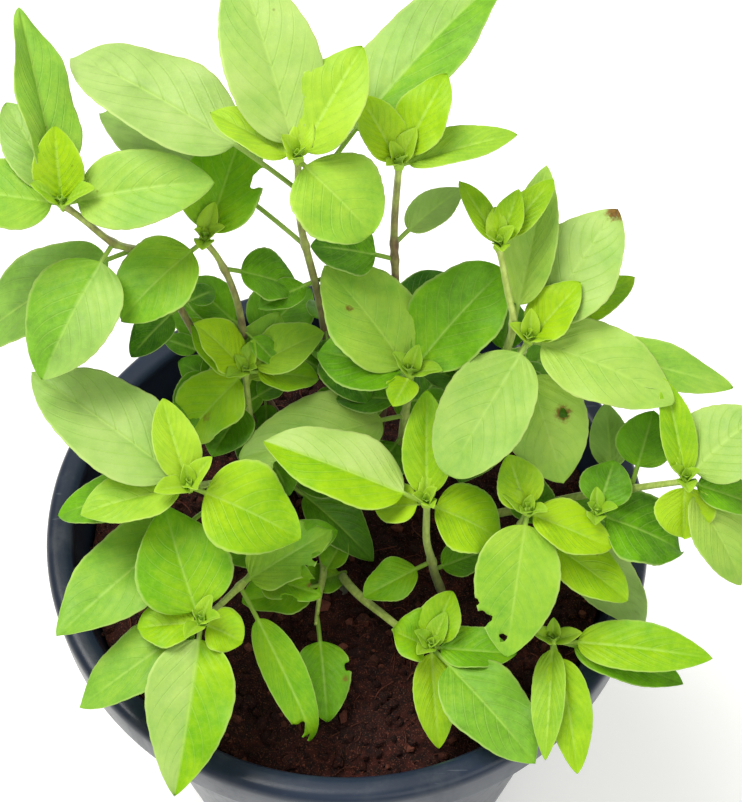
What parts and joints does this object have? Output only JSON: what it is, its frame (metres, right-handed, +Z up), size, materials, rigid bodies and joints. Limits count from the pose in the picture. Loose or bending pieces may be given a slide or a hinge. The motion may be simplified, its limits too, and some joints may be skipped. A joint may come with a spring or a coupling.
{
  "type": "potted herb",
  "caption": "Bushy holy basil herb: slender stems with opposite oval green leaves, rooted in cocopeat soil in a round tapered plastic nursery pot with a thick rounded rim.",
  "frame": {"origin": "centre of the pot's flat underside", "axes": "+Z up along the pot's axis; -Y towards the front, the open side of the clump where the soil shows; +X to the right seen from the front"},
  "size_m": [0.2453, 0.2046, 0.3539],
  "materials": {
    "pot_plastic": "satin, dark slate blue",
    "soil_cocopeat": "crumbly, dark red-brown",
    "stem_green": "fine hairs, olive green",
    "leaf_green": "soft sheen, mid green",
    "young_leaf_green": "soft sheen, bright yellow-green"
  },
  "bodies": {
    "root": {"leaf_back_left_1": "leaf_green", "leaf_back_left_2": "leaf_green", "leaf_back_right_1": "leaf_green", "leaf_back_right_2": "leaf_green", "leaf_back_tall_1": "leaf_green", "leaf_back_tall_2": "leaf_green", "leaf_back_tall_3": "leaf_green", "leaf_centre_1": "leaf_green", "leaf_drooping_1": "leaf_green", "leaf_drooping_2": "leaf_green", "leaf_front_1": "leaf_green", "leaf_front_left_1": "leaf_green", "leaf_front_left_2": "leaf_green", "leaf_front_left_3": "leaf_green", "leaf_front_right_1": "leaf_green", "leaf_left_low_1": "leaf_green", "leaf_left_low_2": "leaf_green", "leaf_left_thin_1": "leaf_green", "leaf_left_thin_2": "leaf_green", "leaf_left_thin_3": "leaf_green", "leaf_right_inner_1": "leaf_green", "leaf_right_low_1": "leaf_green", "leaf_right_low_2": "leaf_green", "leaf_right_mid_1": "leaf_green", "leaf_right_tall_1": "leaf_green", "pot": "pot_plastic", "soil": "soil_cocopeat", "stem_back_left": "stem_green", "stem_back_right": "stem_green", "stem_back_tall": "stem_green", "stem_centre": "stem_green", "stem_drooping": "stem_green", "stem_front": "stem_green", "stem_front_left": "stem_green", "stem_front_right": "stem_green", "stem_left_low": "stem_green", "stem_left_mid": "stem_green", "stem_left_thin": "stem_green", "stem_right_inner": "stem_green", "stem_right_low": "stem_green", "stem_right_mid": "stem_green", "stem_right_tall": "stem_green", "stem_rim_right": "stem_green", "stem_runner": "stem_green", "tip_back_left": "young_leaf_green", "tip_back_right": "young_leaf_green", "tip_back_tall": "young_leaf_green", "tip_centre": "young_leaf_green", "tip_front": "young_leaf_green", "tip_front_left": "young_leaf_green", "tip_front_right": "young_leaf_green", "tip_left_low": "young_leaf_green", "tip_left_mid": "young_leaf_green", "tip_left_thin": "young_leaf_green", "tip_right_inner": "young_leaf_green", "tip_right_low": "young_leaf_green", "tip_right_mid": "young_leaf_green", "tip_right_tall": "young_leaf_green", "tip_rim_right": "young_leaf_green", "tip_runner": "young_leaf_green"}
  },
  "joints": []
}
